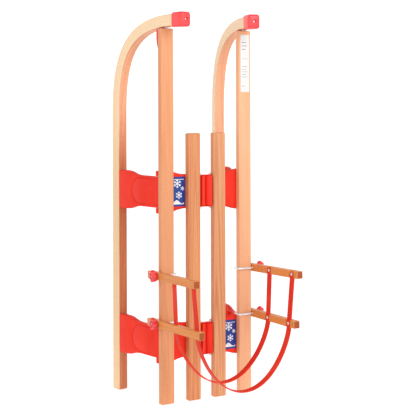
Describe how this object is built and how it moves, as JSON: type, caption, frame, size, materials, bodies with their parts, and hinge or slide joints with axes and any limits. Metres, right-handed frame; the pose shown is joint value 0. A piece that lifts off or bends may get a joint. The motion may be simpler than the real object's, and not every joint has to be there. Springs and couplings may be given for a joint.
{
  "type": "folding wooden toboggan with backrest",
  "caption": "Folding wooden toboggan with curled runners, red hinged brackets and a clamp-on backrest of wooden arms and flexible hoops, standing on its rear end.",
  "frame": {"origin": "on the surface that it stands on, below the middle of its box", "axes": "+Z along the toboggan from its rear end up to the horns, -Y out of the seat, +X to the right of someone facing the seat"},
  "size_m": [0.3522, 0.4545, 1.0406],
  "materials": {
    "runner_wood": "pale bent laminated beech, satin lacquer",
    "beech": "steamed beech with straight grain, satin lacquer",
    "arm_wood": "beech, satin lacquer, darker end grain",
    "red_plastic": "moulded red polyamide, soft gloss",
    "cap_plastic": "moulded red plastic cap, soft gloss",
    "knob_plastic": "clear red moulded plastic",
    "hoop_plastic": "flexible red plastic strip, soft gloss",
    "steel": "bright zinc plated steel",
    "label_white": "white paper label under film",
    "sticker_blue": "printed blue film"
  },
  "bodies": {
    "left_frame": {"runner_left": "runner_wood", "horn_cap_left": "cap_plastic", "horn_cap_screw_left": "steel", "horn_block_left": "red_plastic", "horn_screw_left": "steel", "outer_rail_left": "beech", "front_leg_left": "red_plastic", "rear_leg_left": "red_plastic", "front_hinge_pin_left": "steel", "rear_hinge_pin_left": "steel"},
    "left_wing": {"front_wing_left": "red_plastic", "rear_wing_left": "red_plastic", "middle_slat_left": "beech", "sticker_front": "sticker_blue"},
    "centre_link": {"front_centre_link_upper": "red_plastic", "front_centre_link_lower": "red_plastic", "rear_centre_link_upper": "red_plastic", "rear_centre_link_lower": "red_plastic", "front_centre_pin_left": "steel", "front_centre_pin_right": "steel", "rear_centre_pin_left": "steel", "rear_centre_pin_right": "steel"},
    "right_wing": {"front_wing_right": "red_plastic", "rear_wing_right": "red_plastic", "middle_slat_right": "beech", "sticker_rear": "sticker_blue"},
    "right_frame": {"runner_right": "runner_wood", "horn_cap_right": "cap_plastic", "horn_cap_screw_right": "steel", "horn_block_right": "red_plastic", "horn_screw_right": "steel", "outer_rail_right": "beech", "front_leg_right": "red_plastic", "rear_leg_right": "red_plastic", "front_hinge_pin_right": "steel", "rear_hinge_pin_right": "steel", "rail_label": "label_white"},
    "backrest_left": {"upper_arm_left": "arm_wood", "lower_arm_left": "arm_wood", "upper_hook_bolt_left": "steel", "lower_hook_bolt_left": "steel", "upper_inner_hoop_screw_left": "steel", "upper_outer_hoop_screw_left": "steel", "lower_inner_hoop_screw_left": "steel", "lower_outer_hoop_screw_left": "steel", "inner_hoop": "hoop_plastic", "outer_hoop": "hoop_plastic"},
    "backrest_right": {"upper_arm_right": "arm_wood", "lower_arm_right": "arm_wood", "upper_hook_bolt_right": "steel", "lower_hook_bolt_right": "steel", "upper_inner_hoop_screw_right": "steel", "upper_outer_hoop_screw_right": "steel", "lower_inner_hoop_screw_right": "steel", "lower_outer_hoop_screw_right": "steel"},
    "upper_knob_left": {"upper_knob_left": "knob_plastic"},
    "upper_knob_right": {"upper_knob_right": "knob_plastic"},
    "lower_knob_left": {"lower_knob_left": "knob_plastic"},
    "lower_knob_right": {"lower_knob_right": "knob_plastic"}
  },
  "joints": [
    {"name": "left_fold", "type": "hinge", "parent": "left_frame", "child": "left_wing", "pos_m": [-0.13, 0.0273, 0.3625], "axis": [0, 0, 1], "range_deg": [0, 82], "deforming": ["inner_hoop", "outer_hoop"]},
    {"name": "left_centre_fold", "type": "hinge", "parent": "left_wing", "child": "centre_link", "pos_m": [-0.0148, 0.0073, 0.3625], "axis": [0, 0, 1], "range_deg": [-82, 0]},
    {"name": "right_centre_fold", "type": "hinge", "parent": "centre_link", "child": "right_wing", "pos_m": [0.0148, 0.0073, 0.3625], "axis": [0, 0, 1], "range_deg": [-82, 0]},
    {"name": "right_fold", "type": "hinge", "parent": "right_wing", "child": "right_frame", "pos_m": [0.13, 0.0273, 0.3625], "axis": [0, 0, 1], "range_deg": [0, 82]},
    {"name": "backrest_slide", "type": "slide", "parent": "left_frame", "child": "backrest_left", "axis": [0, 0, 1], "range_m": [0, 0.14]},
    {"name": "backrest_slide_right", "type": "slide", "parent": "right_frame", "child": "backrest_right", "axis": [0, 0, 1], "range_m": [0, 0.14]},
    {"name": "upper_knob_turn_left", "type": "hinge", "parent": "backrest_left", "child": "upper_knob_left", "pos_m": [-0.165, -0.0093, 0.3445], "axis": [-1, 0, 0], "continuous": true},
    {"name": "upper_knob_turn_right", "type": "hinge", "parent": "backrest_right", "child": "upper_knob_right", "pos_m": [0.165, -0.0093, 0.3445], "axis": [1, 0, 0], "continuous": true},
    {"name": "lower_knob_turn_left", "type": "hinge", "parent": "backrest_left", "child": "lower_knob_left", "pos_m": [-0.165, -0.0093, 0.2182], "axis": [-1, 0, 0], "continuous": true},
    {"name": "lower_knob_turn_right", "type": "hinge", "parent": "backrest_right", "child": "lower_knob_right", "pos_m": [0.165, -0.0093, 0.2182], "axis": [1, 0, 0], "continuous": true}
  ],
  "couplings": [
    {"joint": "left_centre_fold", "follows": "left_fold", "ratio": -1},
    {"joint": "right_centre_fold", "follows": "left_fold", "ratio": -1},
    {"joint": "right_fold", "follows": "left_fold", "ratio": 1},
    {"joint": "backrest_slide_right", "follows": "backrest_slide", "ratio": 1}
  ]
}
